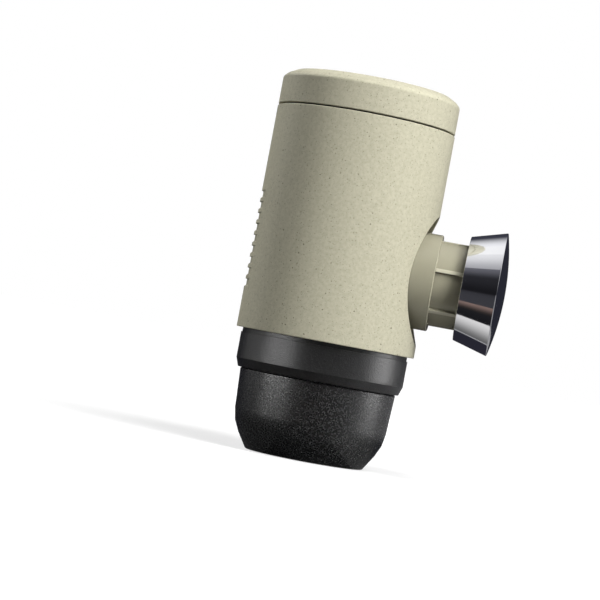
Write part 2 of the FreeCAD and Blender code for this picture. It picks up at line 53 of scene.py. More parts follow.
# arithmetic on sockets
class Signal:
    def __init__(self, board, socket):
        self.board = board
        self.socket = socket

    def __add__(self, other):
        return self.board.calc("ADD", self, other)

    def __radd__(self, other):
        return self.board.calc("ADD", other, self)

    def __sub__(self, other):
        return self.board.calc("SUBTRACT", self, other)

    def __rsub__(self, other):
        return self.board.calc("SUBTRACT", other, self)

    def __mul__(self, other):
        return self.board.calc("MULTIPLY", self, other)

    def __rmul__(self, other):
        return self.board.calc("MULTIPLY", other, self)

    def __gt__(self, other):
        return self.board.calc("GREATER_THAN", self, other)

    def __lt__(self, other):
        return self.board.calc("LESS_THAN", self, other)


class NodeBoard:
    def __init__(self, tree):
        self.tree = tree

    def feed(self, socket, value):
        if isinstance(value, Signal):
            self.tree.links.new(value.socket, socket)
        else:
            socket.default_value = value

    def add(self, kind, settings=None, inputs=None, output=0):
        node = self.tree.nodes.new(kind)
        for label, value in (settings or {}).items():
            setattr(node, label, value)
        for label, value in (inputs or {}).items():
            self.feed(node.inputs[label], value)
        return Signal(self, node.outputs[output])

    def calc(self, operation, first, second):
        return self.add("ShaderNodeMath", {"operation": operation}, {0: first, 1: second})

    def vectors(self, operation, *inputs, output=0):
        settings = {"operation": operation}
        return self.add("ShaderNodeVectorMath", settings, dict(enumerate(inputs)), output)

    def length(self, vector):
        return self.vectors("LENGTH", vector, output=1)


class Finish(NodeBoard):
    def __init__(self, name, **constants):
        self.material = bpy.data.materials.new(name)
        self.material.use_nodes = True
        super().__init__(self.material.node_tree)
        self.shader = self.tree.nodes["Principled BSDF"]
        self.surface(**constants)
        self.place = self.add("ShaderNodeTexCoord", output="Object")

    def grain(self, scale, detail=2.0, roughness=0.5, along=None, output=0):
        inputs = {"Vector": along or self.place, "Scale": scale, "Detail": detail, "Roughness": roughness}
        return self.add("ShaderNodeTexNoise", None, inputs, output)

    def cells(self, scale, along=None, output=0):
        inputs = {"Vector": along or self.place, "Scale": scale}
        return self.add("ShaderNodeTexVoronoi", None, inputs, output)

    def chance(self, scale, along=None):
        # a random number from 0 to 1 for each cell
        return self.add("ShaderNodeSeparateColor", None, {"Color": self.cells(scale, along, 1)})

    def coordinate(self, axis):
        return self.add("ShaderNodeSeparateXYZ", None, {"Vector": self.place}, axis)

    def stretched(self, scales):
        return self.add("ShaderNodeMapping", None, {"Vector": self.place, "Scale": scales})

    def fade(self, value, low, high, toLow=0.0, toHigh=1.0):
        inputs = {"Value": value, "From Min": low, "From Max": high, "To Min": toLow, "To Max": toHigh}
        return self.add("ShaderNodeMapRange", {"interpolation_type": "SMOOTHSTEP"}, inputs)

    def tint(self, share, first, second):
        first, second = [(*c, 1) if isinstance(c, tuple) else c for c in (first, second)]
        return self.add("ShaderNodeMix", {"data_type": "RGBA"}, {0: share, 6: first, 7: second}, 2)

    def bump(self, height, distance, strength=1.0):
        inputs = {"Height": height, "Distance": distance, "Strength": strength}
        return self.add("ShaderNodeBump", None, inputs)

    def surface(self, **values):
        for label, value in values.items():
            self.feed(self.shader.inputs[label.replace("_", " ")], value)
        return self.material


# in every look, scales are per metre, roughness is (lowest, highest) and relief (depth in metres, strength)
speckledLook = {
    "base": (0.44, 0.421, 0.313),
    "cloud": (0.50, 0.480, 0.365),
    "cloudScale": 900.0,
    "fleck": (0.095, 0.082, 0.055),
    # each kind of fleck: scale of its cells, its radius in a cell, share of cells that have one, strength
    "flecks": [(900.0, 0.26, 0.05, 0.85), (1150.0, 0.25, 0.35, 0.55), (2100.0, 0.34, 0.45, 0.35)],
    "raggedScale": 2300.0,
    "raggedBy": 0.0005,  # how far the flecks' outlines are pushed about, in metres
    # painted shade in the grip's grooves, darker towards their floors: outer radius, floor radius, how far
    # back they lie, strength
    "groove": (0.0298, 0.02945, -0.0265, 0.42),
    "grooveShadeColour": (0.20, 0.185, 0.13),
    "roughness": (0.38, 0.49),
    "skinScales": (5200.0, 1500.0),
    "relief": (0.00004, 0.6),
}


def makeSpeckled():
    look = speckledLook
    finish = Finish("speckledPlastic", Specular_IOR_Level=0.40)
    clouds = finish.fade(finish.grain(look["cloudScale"], 4.0, 0.7), 0.36, 0.66)
    colour = finish.tint(clouds, look["base"], look["cloud"])
    jitter = finish.grain(look["raggedScale"], 1.0, output=1)
    ragged = finish.vectors("MULTIPLY_ADD", jitter, (look["raggedBy"],) * 3, finish.place)
    marks = None
    for scale, size, share, strength in look["flecks"]:
        dot = finish.fade(finish.cells(scale, ragged), size, size * 0.55)
        dot = dot * (finish.chance(scale, ragged) < share) * strength
        marks = dot if marks is None else finish.calc("MAXIMUM", marks, dot)
    colour = finish.tint(marks, colour, look["fleck"])
    rim, floor, back, strength = look["groove"]
    away = finish.length(finish.vectors("MULTIPLY", finish.place, (1, 1, 0)))
    # painted shade: the grooves on the grip side are darkened towards their floors
    grooveShade = finish.fade(away, rim, floor) * (finish.coordinate("X") < back) * strength
    colour = finish.tint(grooveShade, colour, look["grooveShadeColour"])
    fine, coarse = look["skinScales"]
    skin = finish.grain(fine, 2.0) * 0.6 + finish.grain(coarse, 2.0) * 0.4
    rough = finish.fade(finish.grain(2600.0, 2.0), 0.3, 0.7, *look["roughness"])
    return finish.surface(Base_Color=colour, Roughness=rough, Normal=finish.bump(skin, *look["relief"]))


smoothLook = {
    # base and shade are partly the plastic's own darker olive and partly painted shade, darkened for the
    # shadow that falls on the collar and sleeve
    "base": (0.225, 0.2145, 0.156),
    "shade": (0.205, 0.195, 0.141),
    "shadeScale": 90.0,
    # the sleeve's ribs get a painted highlight, paler all round: from and to which radius in metres, the
    # largest one, strength
    "rib": (0.01425, 0.01438, 0.0146, 0.75),
    "ribHighlight": (0.40, 0.385, 0.30),
    "roughness": (0.22, 0.27),
    "relief": (0.00001, 0.20),
}


def makeSmooth():
    look = smoothLook
    finish = Finish("smoothPlastic", Specular_IOR_Level=0.5)
    clouds = finish.fade(finish.grain(look["shadeScale"], 3.0), 0.35, 0.65)
    colour = finish.tint(clouds * 0.4, look["base"], look["shade"])
    start, full, most, strength = look["rib"]
    across = finish.vectors("MULTIPLY_ADD", finish.place, (0, 1, 1), (0, 0, -pumpHeight * mm))
    away = finish.length(across)
    # painted highlight: the ribs' tops are paler all round
    colour = finish.tint(finish.fade(away, start, full) * (away < most) * strength, colour, look["ribHighlight"])
    rough = finish.fade(finish.grain(700.0, 3.0), 0.3, 0.7, *look["roughness"])
    skin = finish.bump(finish.grain(3800.0, 2.0), *look["relief"])
    return finish.surface(Base_Color=colour, Roughness=rough, Normal=skin)


# black mouldings with a sandy skin: here roughness goes from the darkest grains to the palest, pits is their
# share of the relief, and noise (scale, detail, roughness) makes up the rest
bandLook = {
    "base": (0.009, 0.009, 0.009), "pale": (0.018, 0.018, 0.018), "specular": 0.7, "sandScale": 2900.0,
    "roughness": (0.30, 0.41), "pits": 0.7, "noise": (2200.0, 2.0, 0.5), "relief": (0.00010, 0.5),
}
bowlLook = {
    "base": (0.007, 0.007, 0.007), "pale": (0.020, 0.020, 0.020), "specular": 0.9, "sandScale": 2700.0,
    "roughness": (0.38, 0.24), "pits": 0.6, "noise": (1900.0, 3.0, 0.6), "relief": (0.00009, 0.55),
}


def makeSandy(name, look):
    finish = Finish(name, Specular_IOR_Level=look["specular"])
    sand = finish.chance(look["sandScale"])
    rough = finish.fade(sand, 0.1, 0.9, *look["roughness"])
    colour = finish.tint(finish.fade(sand, 0.35, 0.9), look["base"], look["pale"])
    pits, noise = finish.cells(look["sandScale"]), finish.grain(*look["noise"])
    skin = finish.bump(pits * look["pits"] + noise * (1 - look["pits"]), *look["relief"])
    return finish.surface(Base_Color=colour, Roughness=rough, Normal=skin)


chromeLook = {
    "base": (0.90, 0.905, 0.93), "cloud": (0.86, 0.865, 0.89), "cloudScale": 45.0,
    "roughness": (0.045, 0.095), "hazeScale": 300.0, "rippleScale": 60.0, "relief": (0.00002, 0.15),
}


def makeChrome():
    look = chromeLook
    finish = Finish("polishedChrome", Metallic=1.0)
    haze = finish.fade(finish.grain(look["hazeScale"], 3.0), 0.3, 0.75, *look["roughness"])
    ripple = finish.bump(finish.grain(look["rippleScale"], 1.0), *look["relief"])
    clouds = finish.fade(finish.grain(look["cloudScale"]), 0.3, 0.7)
    colour = finish.tint(clouds, look["base"], look["cloud"])
    return finish.surface(Base_Color=colour, Roughness=haze, Normal=ripple)


steelLook = {
    "base": (0.60, 0.59, 0.57), "dark": (0.47, 0.46, 0.45), "brushed": (240.0, 240.0, 4200.0),
    "roughness": (0.20, 0.40), "relief": (0.00001, 0.5),
}


def makeSteel():
    look = steelLook
    finish = Finish("brushedSteel", Metallic=1.0)
    lines = finish.grain(1.0, 3.0, 0.6, finish.stretched(look["brushed"]))
    rough = finish.fade(lines, 0.3, 0.7, *look["roughness"])
    colour = finish.tint(finish.fade(lines, 0.3, 0.7), look["base"], look["dark"])
    return finish.surface(Base_Color=colour, Roughness=rough, Normal=finish.bump(lines, *look["relief"]))


def makePlain(name, base, other, roughness, scale=400.0, **constants):
    finish = Finish(name, **constants)
    clouds = finish.fade(finish.grain(scale, 3.0), 0.3, 0.7)
    rough = finish.fade(finish.grain(scale * 4, 2.0), 0.3, 0.7, roughness - 0.05, roughness + 0.07)
    skin = finish.bump(finish.grain(scale * 8, 2.0), 0.00002, 0.4)
    return finish.surface(Base_Color=finish.tint(clouds, base, other), Roughness=rough, Normal=skin)


finishes = {
    "speckled": makeSpeckled(),
    "smooth": makeSmooth(),
    "band": makeSandy("satinBlackPlastic", bandLook),
    "bowl": makeSandy("grainedBlackPlastic", bowlLook),
    "chrome": makeChrome(),
    "steel": makeSteel(),
    "dark": makePlain("moulding", (0.030, 0.030, 0.031), (0.040, 0.040, 0.042), 0.46),
    "tank": makePlain("smokedTank", (0.42, 0.43, 0.42), (0.47, 0.48, 0.47), 0.16, 120.0,
                      Transmission_Weight=0.75, IOR=1.50),
    "rubber": makePlain("silicone", (0.062, 0.062, 0.060), (0.085, 0.085, 0.082), 0.60),
}
# the solids that keep their own shape
cadFinishes = {
    "tank": ["water_tank"],
    "smooth": ["pump_housing", "knob_hub"],
    "dark": ["piston_head", "outlet_valve", "outlet_valve_plug", "crema_valve", "cap_plug", "rod_guide"],
    "steel": ["pump_cylinder", "piston_rod", "piston_nut", "knob_screw", "shower_screw", "chassis_screws",
              "outlet_nozzle"],
    "rubber": ["tank_seal", "brew_gasket", "cap_gasket", "cap_vent_valve", "inlet_valve", "piston_cup"],
}
for look, names in cadFinishes.items():
    for name in names:
        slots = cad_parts[name].data.materials
        slots.clear()
        slots.append(finishes[look])
print("materials made:", len(finishes))


def roundCorners(corners):
    # corners are (r, z) or (r, z, rounding), all in mm
    points = []
    for i, corner in enumerate(corners):
        here = Vector(corner[:2])
        if len(corner) < 3:
            points.append(here)
            continue
        rounding = corner[2]
        come = (here - Vector(corners[i - 1][:2])).normalized()
        go = (Vector(corners[(i + 1) % len(corners)][:2]) - here).normalized()
        turn = come.angle(go)
        reach = rounding * math.tan(turn / 2)
        centre = here + (go - come).normalized() * math.hypot(rounding, reach)
        spoke = here - come * reach - centre
        side = 1 if come.cross(go) > 0 else -1
        steps = max(2, round(math.degrees(turn) / cornerStep))
        for step in range(steps + 1):
            points.append(centre + Matrix.Rotation(side * turn * step / steps, 2) @ spoke)
    return points


def finishPiece(bm, name, body, look, *nodes, sharpAngle=sharpFrom, merge=1e-8):
    bmesh.ops.remove_doubles(bm, verts=bm.verts, dist=merge)
    bmesh.ops.recalc_face_normals(bm, faces=bm.faces)
    mesh = bpy.data.meshes.new(name)
    bm.to_mesh(mesh)
    bm.free()
    return finishMesh(mesh, name, body, look, *nodes, sharpAngle=sharpAngle)


def finishMesh(mesh, name, body, look, *nodes, sharpAngle=sharpFrom):
    piece = bpy.data.objects.new(name, mesh)
    bpy.context.scene.collection.objects.link(piece)
    mesh.shade_smooth()
    mesh.set_sharp_from_angle(angle=math.radians(sharpAngle))
    mesh.materials.clear()
    mesh.materials.append(finishes[look])
    even = piece.modifiers.new("evenShading", "WEIGHTED_NORMAL")
    even.keep_sharp = True
    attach(piece, body)
    if nodes:
        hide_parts(*nodes)
    return piece


def ontoPump(x, y, z):
    return Vector((z, y, pumpHeight - x)) * mm


def upright(x, y, z):
    return Vector((x, y, z)) * mm


def spun(corners, place=upright, segments=144):
    # a closed outline turned round its axis
    bm = bmesh.new()
    rings = []
    angles = [math.tau * k / segments for k in range(segments)]
    for point in roundCorners(corners):
        if point.x < 1e-6:
            rings.append([bm.verts.new(place(0, 0, point.y))] * segments)
            continue
        spots = [(point.x * math.cos(a), point.x * math.sin(a), point.y) for a in angles]
        rings.append([bm.verts.new(place(*spot)) for spot in spots])
    for ring, other in zip(rings, rings[1:] + rings[:1]):
        for k in range(segments):
            n = (k + 1) % segments
            around = list(dict.fromkeys([ring[k], ring[n], other[n], other[k]]))
            if len(around) > 2:
                bm.faces.new(around)
    return bm


def softened(name, node, body, look, width, angle=sharpFrom):
    # a copy of the solid, its facets joined again, with small rounded edges
    bm = bmesh.new()
    bm.from_mesh(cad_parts[node].data)
    bmesh.ops.remove_doubles(bm, verts=bm.verts, dist=1e-6)
    bmesh.ops.dissolve_limit(bm, angle_limit=math.radians(0.4), verts=bm.verts, edges=bm.edges)
    mesh = bpy.data.meshes.new(name)
    bm.to_mesh(mesh)
    bm.free()
    piece = finishMesh(mesh, name, body, look, node, sharpAngle=angle)
    bevel = piece.modifiers.new("edges", "BEVEL")
    bevel.width = width * mm
    bevel.segments = 2
    bevel.limit_method = "ANGLE"
    bevel.angle_limit = math.radians(angle)
    piece.modifiers.move(1, 0)  # before the even shading
    return piece


# the shell with its side opening and grip grooves
shell = {
    "inner": 27.8, "bottom": 39.4, "top": 114.3, "edge": 0.30, "edgeSteps": 4,
    "openHalfWidth": 16.7, "openHalfHeight": 21.5, "openEdge": 0.6,
    "openSkirt": 2.2,  # width of the rings that follow the opening's edge
    "patch": 60.0,  # degrees either side of the opening that its own grid covers
    "patchSteps": 24, "backSteps": 96,
    "plainRows": [41.2, 43.0, 46.0, 49.0] + [90.0 + 3.5 * i for i in range(7)],
    "grooves": 9, "groovePitch": 3.72, "firstGroove": 53.4, "grooveOpen": 2.1, "grooveDepth": 0.55,
    "grooveSlope": 0.55, "grooveLip": 0.12,  # heights of a groove's lower and upper side
    "gripHalfAngle": 23.0, "gripFade": 0.35,  # where the grooves end and over how far, in degrees
}


def grooveDepth(angle, z):
    off = abs(math.degrees(angle) - 180.0)
    share = min(1.0, max(0.0, (shell["gripHalfAngle"] - off) / shell["gripFade"]))
    slope, lip = shell["grooveSlope"], shell["grooveLip"]
    for i in range(shell["grooves"]):
        low = shell["firstGroove"] + i * shell["groovePitch"]
        rise = min((z - low + slope) / slope, (low + shell["grooveOpen"] - z) / lip)
        if rise > 0:
            return share * shell["grooveDepth"] * min(1.0, rise)
    return 0.0


def openingPoint(u, out):
    # u runs once round the oval from its middle on the +Y side; out is the distance outside its edge
    turn = math.tau * u
    halfWidth, halfHeight = shell["openHalfWidth"], shell["openHalfHeight"]
    across, along = halfHeight * math.cos(turn), halfWidth * math.sin(turn)
    reach = out / math.hypot(across, along)
    y = halfWidth * math.cos(turn) + across * reach
    return y, pumpHeight + halfHeight * math.sin(turn) + along * reach


def openingAt(direction):
    # the u whose point lies in a direction from the opening's middle, on the unrolled wall
    low, high = 0.0, 1.0
    for _ in range(40):
        middle = (low + high) / 2
        y, z = openingPoint(middle, 0.0)
        angle = math.atan2(z - pumpHeight, bodyRadius * math.asin(y / bodyRadius)) % math.tau
        if angle < direction:
            low = middle
        else:
            high = middle
    return (low + high) / 2


def addGrid(bm, rows, wrap=False):
    # rows of points in mm, joined by faces; wrap closes each row into a ring
    made = [[bm.verts.new(point * mm) for point in row] for row in rows]
    for row, other in zip(made, made[1:]):
        count = len(row) if wrap else len(row) - 1
        for k in range(count):
            n = (k + 1) % len(row)
            bm.faces.new([row[k], row[n], other[n], other[k]])


def makeShell():
    radius, inner, edge, skirt = bodyRadius, shell["inner"], shell["edge"], shell["openSkirt"]
    low, high = shell["bottom"] + edge, shell["top"] - edge
    heights = {low, high, *shell["plainRows"]}
    for i in range(shell["grooves"]):
        z = shell["firstGroove"] + i * shell["groovePitch"]
        end = z + shell["grooveOpen"]
        heights |= {z - shell["grooveSlope"], z, z + 1.0, end - shell["grooveLip"], end}
    heights = sorted(heights)
    patch, patchSteps = math.radians(shell["patch"]), shell["patchSteps"]
    front = [patch * (k / patchSteps - 1) for k in range(2 * patchSteps + 1)]
    gripEnd = 180 - shell["gripHalfAngle"]
    grip = [gripEnd, gripEnd + shell["gripFade"]]
    backStep = (360 - 2 * shell["patch"]) / shell["backSteps"]
    back = [shell["patch"] + backStep * k for k in range(shell["backSteps"] + 1)]
    back = sorted(math.radians(a) for a in back + grip + [360 - angle for angle in grip])
    turns = [math.pi / 2 * step / shell["edgeSteps"] for step in range(shell["edgeSteps"] + 1)]

    def wall(r, angle, z):
        return Vector((r * math.cos(angle), r * math.sin(angle), z))

    def skin(angle, z):
        return wall(radius - grooveDepth(angle % math.tau, z), angle, z)

    bm = bmesh.new()
    addGrid(bm, [[skin(a, z) for a in back] for z in heights])
    addGrid(bm, [[wall(inner, a, z) for a in back] for z in heights])
    # the rounded ends
    around = front + back[1:-1]
    for z, sign in ((shell["top"], 1), (shell["bottom"], -1)):
        rows = []
        for r, side in ((radius, 1), (inner, -1)):
            arc = []
            for turn in turns:
                reach = r - side * edge * (1 - math.cos(turn))
                arc.append([wall(reach, a, z - sign * edge * (1 - math.sin(turn))) for a in around])
            rows += arc if side == 1 else arc[::-1]
        addGrid(bm, rows, wrap=True)
    # the grid round the opening: from the frame of the patch in to the rounded edge, and out again inside
    frameLine = [(patch, z) for z in heights] + [(a, high) for a in front[::-1][1:]]
    frameLine += [(-patch, z) for z in heights[::-1][1:]] + [(a, low) for a in front[1:-1]]
    spots = []
    for angle, z in frameLine:
        direction = math.atan2(z - pumpHeight, radius * angle) % math.tau
        spots.append((angle, z, openingAt(direction)))

    def wallRing(r, share):
        # on the skirt's outline at share 0 and on the frame of the patch at share 1
        ring = []
        for angle, z, u in spots:
            y, nearZ = openingPoint(u, skirt)
            nearAngle = math.asin(y / r)
            ring.append(wall(r, nearAngle + share * (angle - nearAngle), nearZ + share * (z - nearZ)))
        return ring

    def edgeRing(r, out, depth=0.0):
        ring = []
        for _, _, u in spots:
            y, z = openingPoint(u, out)
            ring.append(Vector((math.sqrt(r * r - y * y) - depth, y, z)))
        return ring

    rows = [wallRing(radius, share) for share in (1, 0.82, 0.65, 0.5, 0.36, 0.23, 0.12)]
    rows += [edgeRing(radius, out) for out in (skirt, 1.4, 0.8)]
    rounding = shell["openEdge"]
    for turn in turns:
        rows.append(edgeRing(radius, rounding * (1 - math.sin(turn)), rounding * (1 - math.cos(turn))))
    rows += [edgeRing(inner, out) for out in (0.0, 1.0, skirt)]
    rows += [wallRing(inner, share) for share in (0.4, 1)]
    addGrid(bm, rows, wrap=True)
    return finishPiece(bm, "shellSkin", "body", "speckled", "outer_shell", merge=1e-7)


makeShell()
print("shell made")

# the cap's cover with its bevelled top
cap = {
    "bottom": 114.85, "side": 8.3, "height": 11.85, "radius": 29.9, "wall": 2.0, "edge": 0.3,
    "bevelStart": (0.9, 1.5),  # height above the side, rounding
    "bevelBreak": (1.3, 2.15, 0.25),  # distance in from the side, height above it, rounding
    "bevelEnd": (26.0, 1.6),  # radius, rounding
    "shoulder": 25.0,  # outside this radius the roof is thicker
}


def makeCap():
    bottom, radius, wall, edge = cap["bottom"], cap["radius"], cap["wall"], cap["edge"]
    inner, side, top = radius - wall, bottom + cap["side"], bottom + cap["height"]
    roof, shoulder = top - wall, cap["shoulder"]
    startUp, startRound = cap["bevelStart"]
    breakIn, breakUp, breakRound = cap["bevelBreak"]
    endRadius, endRound = cap["bevelEnd"]
    corners = [
        (0, roof), (shoulder, roof), (shoulder, roof - wall), (inner, roof - wall), (inner, bottom, edge),
        (radius, bottom, edge), (radius, side + startUp, startRound),
        (radius - breakIn, side + breakUp, breakRound), (endRadius, top, endRound), (0, top),
    ]
    return finishPiece(spun(corners, segments=192), "capSkin", "cap", "speckled", "cap_cover")


makeCap()

# threaded neck, side that draws in to the foot, and the recess under it with the nozzle's hole, as (r, z)
bowl = {
    "height": 26.25, "top": 26.2, "turn": (25.33, 8.58), "turnRound": 16.0, "foot": 19.8,
    "neck": 24.6, "neckTop": 34.2, "inner": 22.9, "floor": 9.2,
    "recess": (15.5, 1.2), "recessSlope": 0.8, "nozzleHole": (3.3, 8.0), "passage": 1.3,
}


def makeBowlSkin():
    hole, holeTop = bowl["nozzleHole"]
    recess, recessTop = bowl["recess"]
    corners = [
        (bowl["passage"], holeTop), (hole, holeTop), (hole, recessTop), (recess, recessTop, 0.4),
        (recess + bowl["recessSlope"], 0, 0.3), (bowl["foot"], 0, 0.5),
        (*bowl["turn"], bowl["turnRound"]), (bowl["top"], bowl["height"], 0.45),
        (bowl["neck"], bowl["height"], 0.2), (bowl["neck"], bowl["neckTop"], 0.3),
        (bowl["inner"], bowl["neckTop"], 0.3), (bowl["inner"], bowl["floor"], 1.5),
        (bowl["passage"], bowl["floor"]),
    ]
    return finishPiece(spun(corners, segments=192), "bowlSkin", "bowl", "bowl", "filter_bowl")


makeBowlSkin()

# mouldings that keep their solid's shape, with softened edges
softened("headBand", "brew_head", "body", "band", 0.2, 10.0)
softened("collarRing", "guide_collar", "body", "smooth", 0.22)
softened("plungerSleeve", "plunger_sleeve", "knob", "smooth", 0.15)
print("cap, bowl, band, collar and sleeve made")


# a Geometry Nodes tree with a named input for each of its sizes
class Growth(NodeBoard):
    def __init__(self, name, sizes):
        super().__init__(bpy.data.node_groups.new(name, "GeometryNodeTree"))
        self.sizes = sizes
        self.sockets = {label: self.newSocket(label, "Float") for label in sizes}
        self.sockets["Finish"] = self.newSocket("Finish", "Material")
        self.newSocket("Mesh", "Geometry", "OUTPUT")
        given = self.tree.nodes.new("NodeGroupInput")
        self.given = {label: Signal(self, given.outputs[label]) for label in self.sockets}

    def newSocket(self, label, kind, way="INPUT"):
        return self.tree.interface.new_socket(label, in_out=way, socket_type="NodeSocket" + kind)

    def lengths(self, *labels):
        # these inputs in metres
        return {label: self.given[label] * mm for label in labels}

    def vector(self, **parts):
        return self.add("ShaderNodeCombineXYZ", None, parts)

    def placed(self, geometry, shift=(0, 0, 0), turn=(0, 0, 0)):
        inputs = {"Geometry": geometry, "Translation": shift, "Rotation": turn}
        return self.add("GeometryNodeTransform", None, inputs)

    def close(self, geometry):
        whole = self.add("GeometryNodeRealizeInstances", None, {"Geometry": geometry})
        inputs = {"Geometry": whole, "Material": self.given["Finish"]}
        end = self.tree.nodes.new("NodeGroupOutput")
        self.feed(end.inputs["Mesh"], self.add("GeometryNodeSetMaterial", None, inputs))

    def grow(self, name, body, look, *nodes, **changes):
        seed = bpy.data.objects.new(name, bpy.data.meshes.new(name))
        bpy.context.scene.collection.objects.link(seed)
        grower = seed.modifiers.new("grower", "NODES")
        grower.node_group = self.tree
        for label, value in {**self.sizes, **changes}.items():
            grower[self.sockets[label].identifier] = float(value)
        grower[self.sockets["Finish"].identifier] = finishes[look]
        graph = bpy.context.evaluated_depsgraph_get()
        mesh = bpy.data.meshes.new_from_object(seed.evaluated_get(graph), depsgraph=graph)
        bpy.data.objects.remove(seed)
        bm = bmesh.new()
        bm.from_mesh(mesh)
        bpy.data.meshes.remove(mesh)
        return finishPiece(bm, name, body, look, *nodes)


# a ridge wound round a wall, on its outside with side 1 or its inside with side -1; start turns it by degrees
ridge = {
    "radius": 24.6, "bottom": 27.4, "length": 5.8, "lead": 4.0, "height": 0.24, "foot": 1.5, "crest": 0.8,
    "side": 1.0, "start": 0.0,
}


def growThreads():
    tree = Growth("threadRidge", ridge)
    size = tree.lengths("radius", "bottom", "length", "height", "foot", "crest")
    turns = tree.calc("DIVIDE", tree.given["length"], tree.given["lead"])
    path = tree.add("GeometryNodeCurveSpiral", None, {
        "Resolution": 96, "Rotations": turns, "Start Radius": size["radius"], "End Radius": size["radius"],
        "Height": size["length"], "Reverse": True})
    path = tree.add("GeometryNodeSetCurveNormal", {"mode": "Z_UP"}, {"Curve": path})
    sunk = 0.2  # how much of its height the ridge also goes into the wall
    shape = tree.add("GeometryNodeCurvePrimitiveQuadrilateral", {"mode": "TRAPEZOID"}, {
        "Height": size["height"] * (1 + sunk), "Bottom Width": size["foot"], "Top Width": size["crest"],
        "Offset": 0.0})
    shape = tree.placed(shape, tree.vector(Y=size["height"] * ((1 - sunk) / 2)))
    shape = tree.placed(shape, turn=tree.vector(Z=tree.given["side"] * math.radians(-90)))
    runOut = 16.0  # the ridge fades out over a sixteenth of its length at each end
    along = tree.add("GeometryNodeSplineParameter")
    ends = tree.calc("MINIMUM", along, 1.0 - along) * runOut + 0.02
    ends = tree.calc("MINIMUM", ends, 1.0)
    wound = tree.add("GeometryNodeCurveToMesh", None, {
        "Curve": path, "Profile Curve": shape, "Scale": ends, "Fill Caps": True})
    turned = tree.vector(Z=tree.given["start"] * math.radians(1))
    tree.close(tree.placed(wound, tree.vector(Z=size["bottom"]), turned))
    mouth = {"bottom": 108.9, "length": 4.2}
    tree.grow("neckThread", "bowl", "bowl")
    tree.grow("headThread", "body", "band", radius=24.9, height=0.18, side=-1.0, start=180.0)
    tree.grow("plugThread", "cap", "dark", radius=25.48, height=0.16, **mouth)
    tree.grow("mouthThread", "body", "tank", radius=25.68, height=0.14, side=-1.0, start=180.0, **mouth)


growThreads()

# round wire wound along an axis from its fixed end; lean tips that axis by degrees, from upright to along X
spring = {
    "radius": 1.8, "wire": 0.25, "turns": 4.0, "start": 42.32, "length": 5.24, "lean": 0.0,
    "alongX": 0.0, "alongZ": 0.0,
}


def growSprings():
    tree = Growth("woundWire", spring)
    size = tree.lengths("radius", "wire", "start", "length", "alongX", "alongZ")
    path = tree.add("GeometryNodeCurveSpiral", None, {
        "Resolution": 36, "Rotations": tree.given["turns"], "Start Radius": size["radius"],
        "End Radius": size["radius"], "Height": size["length"]})
    section = tree.add("GeometryNodeCurvePrimitiveCircle", None, {"Resolution": 12, "Radius": size["wire"]})
    wound = tree.add("GeometryNodeCurveToMesh", None, {
        "Curve": path, "Profile Curve": section, "Fill Caps": True})
    risen = tree.placed(wound, tree.vector(Z=size["start"]))
    tipped = tree.placed(risen, turn=tree.vector(Y=tree.given["lean"] * math.radians(1)))
    tree.close(tree.placed(tipped, tree.vector(X=size["alongX"], Z=size["alongZ"])))
    outletX = -19.5
    pump = tree.grow("returnCoil", "body", "steel", "return_spring", radius=9.0, wire=0.7, turns=7.0,
                     start=8.87, length=33.56, lean=90.0, alongZ=pumpHeight)
    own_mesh(pump)
    outlet = tree.grow("outletCoil", "body", "steel", "outlet_valve_spring", alongX=outletX)
    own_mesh(outlet)
    crema = tree.grow("cremaCoil", "bowl", "steel", "crema_spring", turns=3.0, start=3.92, length=2.63)
    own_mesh(crema)


growSprings()

# plates with holes in a hexagonal pattern, between a plain edge and a plain middle
plate = {
    "radius": 20.4, "bottom": 35.9, "thickness": 0.5, "hole": 0.45, "spacing": 1.7, "edge": 1.2,
    "middle": 3.7,
}


def growPlates():
    tree = Growth("perforatedPlate", plate)
    size = tree.lengths(*plate)
    disc = tree.add("GeometryNodeMeshCylinder", None, {
        "Vertices": 128, "Radius": size["radius"], "Depth": size["thickness"]})
    across = tree.calc("DIVIDE", size["radius"] * 2.0, size["spacing"])
    across = tree.calc("CEIL", across, 0.0) + 2.0
    lines = tree.calc("CEIL", across * 1.16, 0.0)  # the rows are closer than the holes in them
    rowStep = size["spacing"] * math.sqrt(0.75)
    grid = tree.add("GeometryNodeMeshGrid", None, {
        "Size X": (across - 1.0) * size["spacing"], "Size Y": (lines - 1.0) * rowStep,
        "Vertices X": across, "Vertices Y": lines})
    line = tree.calc("MODULO", tree.add("GeometryNodeInputIndex"), lines)
    odd = tree.calc("MODULO", line, 2.0)
    grid = tree.add("GeometryNodeSetPosition", None, {
        "Geometry": grid, "Offset": tree.vector(X=(odd - 0.5) * size["spacing"] * 0.5)})
    away = tree.length(tree.add("GeometryNodeInputPosition"))
    outside = (away > size["radius"] - size["edge"]) + (away < size["middle"])
    grid = tree.add("GeometryNodeDeleteGeometry", None, {"Geometry": grid, "Selection": outside})
    hole = tree.add("GeometryNodeMeshCylinder", None, {
        "Vertices": 10, "Radius": size["hole"], "Depth": size["thickness"] * 3.0})
    holes = tree.add("GeometryNodeInstanceOnPoints", None, {"Points": grid, "Instance": hole})
    holes = tree.add("GeometryNodeRealizeInstances", None, {"Geometry": holes})
    pierced = tree.add("GeometryNodeMeshBoolean", {"operation": "DIFFERENCE", "solver": "MANIFOLD"}, {
        "Mesh 1": disc, "Mesh 2": holes})
    tree.close(tree.placed(pierced, tree.vector(Z=size["bottom"] + size["thickness"] * 0.5)))
    tree.grow("screenPlate", "body", "steel", "shower_screen")
    tree.grow("basketFloor", "basket", "steel", radius=21.9, bottom=14.0, thickness=0.6, hole=0.4,
              middle=-1.0)


growPlates()
print("threads, springs and plates grown")

# the pan of the basket, open below for its pierced floor
basket = {"radius": 22.4, "wall": 0.6, "bottom": 14.0, "rimRadius": 24.2, "rimBottom": 34.22, "rimTop": 34.9}


